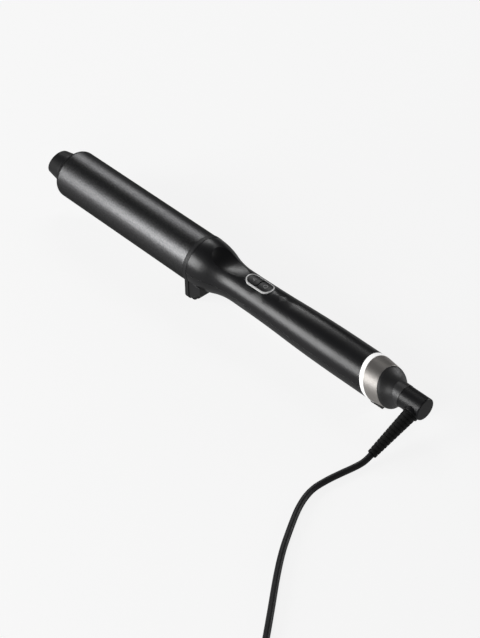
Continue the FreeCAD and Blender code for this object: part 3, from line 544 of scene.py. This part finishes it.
def rubbery(name, colour, rough, grain=0.03):
    """Rubber or soft PVC: matt, with fine pits and dusty paler patches."""
    m = Nodes(name)
    dust = m.spread(m.noise(120, 5), 0.0, 0.7)
    m.link(m.blend(dust, colour, lighter(colour, 1.7)), "Base Color")
    m.link(m.spread(m.noise(300, 3), rough - 0.06, rough + 0.06), "Roughness")
    m.link(m.bump(m.noise(1800, 3), grain * MM, 0.6), "Normal")
    return m.material


def band_with_painted_glow():
    """The white ring, with a painted glow: its emission lifts it brighter than the lamps alone light it."""
    # The emission paints a glow onto the white band.
    m = Nodes("band_white_painted_glow", Emission_Strength=0.6, Coat_Weight=0.3)
    m.shader.inputs["Emission Color"].default_value = (1, 1, 1, 1)
    mask, rounded = m.edges(0.25 * MM)
    m.link(m.blend(m.spread(m.noise(60, 3), 0, 1), (0.93, 0.93, 0.92), (0.97, 0.97, 0.96)),
           "Base Color")
    m.link(m.spread(m.noise(200, 3), 0.24, 0.34), "Roughness")
    m.link(m.bump(m.noise(1200, 2), 0.006 * MM, 0.4, rounded), "Normal")
    return m.material


def clear(name, colour, rough):
    """Small glass piece."""
    m = Nodes(name, Transmission_Weight=0.8)
    m.link(m.blend(m.spread(m.noise(300, 2), 0, 1), colour, lighter(colour, 1.2)), "Base Color")
    m.link(m.spread(m.noise(500, 2), rough, rough + 0.08), "Roughness")
    return m.material


BLACK = (0.011, 0.011, 0.012)
LOOKS = {
    "shell_plastic": moulded("grip_black", BLACK, 0.33, Coat_Weight=0.12, Coat_Roughness=0.3),
    "collar_plastic": moulded("collar_graphite", (0.016, 0.016, 0.017), 0.5, 0.02),
    "barrel_coat": coated_barrel(),
    "tip_plastic": moulded("tip_black", (0.010, 0.010, 0.011), 0.42, 0.02),
    "insulator": moulded("insulator_cream", (0.6, 0.57, 0.48), 0.55, 0.02, 1.1),
    "trim_metal": brushed("trim_brushed_steel", (0.66, 0.63, 0.60), 0.45, (0.25, 6, 6)),
    "band_plastic": band_with_painted_glow(),
    "bezel_metal": brushed("bezel_bright", (0.93, 0.93, 0.93), 0.4, (1, 1, 1), 0.1),
    "key_plastic": moulded("key_black", (0.007, 0.007, 0.008), 0.42, 0.006),
    "foot_rubber": rubbery("foot_rubber", (0.015, 0.015, 0.015), 0.6),
    "key_rubber": rubbery("key_mat_rubber", (0.12, 0.12, 0.125), 0.6),
    "heater_aluminium": brushed("heater_aluminium", (0.75, 0.75, 0.76), 0.35, (0.2, 4, 4)),
    "heater_ceramic": moulded("heater_ceramic", (0.72, 0.70, 0.66), 0.5, 0.02, 1.1),
    "lead_glass": clear("sensor_glass", (0.8, 0.75, 0.6), 0.08),
    "steel": brushed("zinc_steel", (0.55, 0.55, 0.56), 0.35, (1, 1, 4)),
    "brass": brushed("contact_brass", (0.80, 0.58, 0.26), 0.28, (1, 3, 3)),
    "board": moulded("board_green", (0.02, 0.13, 0.05), 0.35, 0.01),
    "component_plastic": moulded("component_black", (0.02, 0.02, 0.021), 0.5, 0.02),
    "capacitor_plastic": moulded("capacitor_yellow", (0.65, 0.45, 0.06), 0.4, 0.01, 1.1),
    "led": clear("led_red", (0.8, 0.06, 0.03), 0.1),
    "wire_live": rubbery("wire_brown", (0.16, 0.07, 0.03), 0.45),
    "wire_neutral": rubbery("wire_blue", (0.02, 0.08, 0.4), 0.45),
    "swivel_plastic": moulded("swivel_black", BLACK, 0.36, 0.014),
    "cord_rubber": rubbery("cord_pvc", (0.012, 0.012, 0.013), 0.5, 0.012),
    "plug_plastic": moulded("plug_pvc", (0.014, 0.014, 0.015), 0.45, 0.03),
}
# Two pieces share a slot with others, and look a little different: the end cap is painted lighter than its slot's
# plastic, as painted light on its rear-facing dish, and the strain relief is darker.
OWN_LOOKS = {
    # The end cap's lighter colour is painted light on its dish, which faces away from the lamps.
    "end_cap": moulded("cap_black_painted_light", (0.03, 0.03, 0.031), 0.45, 0.014, Specular_IOR_Level=1.0),
    "strain_relief": rubbery("guard_pvc", (0.003, 0.003, 0.003), 0.6, 0.015),
}
KEY_INK = moulded("key_ink", (0.5, 0.5, 0.5), 0.5, 0.004, 1.1)
SLOT_OF = {part["node"]: part["material_slot"] for part in frame["record"]["subparts"]}
for node, piece in NODES.items():
    piece.data.materials.clear()
    piece.data.materials.append(OWN_LOOKS.get(node, LOOKS[SLOT_OF[node]]))
for piece in (cord, tie):
    piece.data.materials.append(LOOKS["cord_rubber"])
plug.data.materials.append(LOOKS["plug_plastic"])
for mark in MARKS:
    mark.data.materials.append(KEY_INK)


# -------------------------------------------------------------------- studio
# Metres and watts.  The camera sees one floor and a round wall behind it.  A second, darker
# floor, which the camera doesn't see, is what the pieces mirror.
FLOOR_HALF = 6.0
WALL_RADIUS, WALL_HEIGHT, WALL_SIDES = 5.9, 12.0, 96
FLOOR_DROP = 0.3 * MM
MIRRORED_FLOOR_DROP = 0.6 * MM
WORLD_GLOW = 0.02
LIGHT_AIM = Vector((0.0, 0.0, 0.03))
# Name, place, size and power.
LIGHTS = [
    ("left_box", (0.545, 0.90, 0.36), (0.5, 0.6), 8.0),
    ("right_box", (0.663, -0.52, 0.66), (0.5, 0.2), 2.0),
    ("left_fill", (-0.60, 0.95, 0.60), (0.5, 0.5), 3.0),
    ("right_fill", (-0.55, -1.00, 0.30), (0.5, 0.4), 2.5),
]


def add_light(name, place, size, power):
    """A soft box that faces the wand."""
    data = bpy.data.lights.new(name, "AREA")
    data.shape = "RECTANGLE"
    data.size, data.size_y = size
    data.energy = power
    light = bpy.data.objects.new(name, data)
    bpy.context.scene.collection.objects.link(light)
    light.location = place
    light.rotation_euler = (LIGHT_AIM - Vector(place)).to_track_quat("-Z", "Y").to_euler()


def pale_sheet(name, build, glow, shade):
    """Part of the studio; it gives off some light, so that shadows stay faint."""
    sheet = add_mesh(name, build, smooth=False)
    m = Nodes(name + "_white", Roughness=0.9, Emission_Strength=glow)
    m.shader.inputs["Emission Color"].default_value = (1, 1, 1, 1)
    tone = m.blend(m.noise(3, 2), (shade,) * 3, (shade * 1.05,) * 3)
    m.link(tone, "Base Color")
    sheet.data.materials.append(m.material)
    return sheet


def level_square(bm):
    bmesh.ops.create_grid(bm, size=FLOOR_HALF)


def round_wall(bm):
    bmesh.ops.create_cone(
        bm, segments=WALL_SIDES, radius1=WALL_RADIUS, radius2=WALL_RADIUS, depth=WALL_HEIGHT
    )


def add_studio():
    """The sheets, the lights and a faint glow from all round."""
    floor = pale_sheet("floor", level_square, 0.855, 0.12)
    floor.location.z = -FLOOR_DROP
    backdrop = pale_sheet("backdrop", round_wall, 0.93, 0.02)
    backdrop.visible_shadow = False
    for sheet in (floor, backdrop):
        sheet.visible_glossy = False
        sheet.visible_diffuse = False
    mirrored = pale_sheet("floor_for_reflections", level_square, 0.26, 0.12)
    mirrored.location.z = -MIRRORED_FLOOR_DROP
    mirrored.visible_camera = False
    for light in LIGHTS:
        add_light(*light)
    world = bpy.data.worlds.new("studio")
    world.use_nodes = True
    background = world.node_tree.nodes["Background"]
    background.inputs["Color"].default_value = (1, 1, 1, 1)
    background.inputs["Strength"].default_value = WORLD_GLOW
    bpy.context.scene.world = world
    bpy.context.scene.view_settings.view_transform = "Standard"


add_studio()
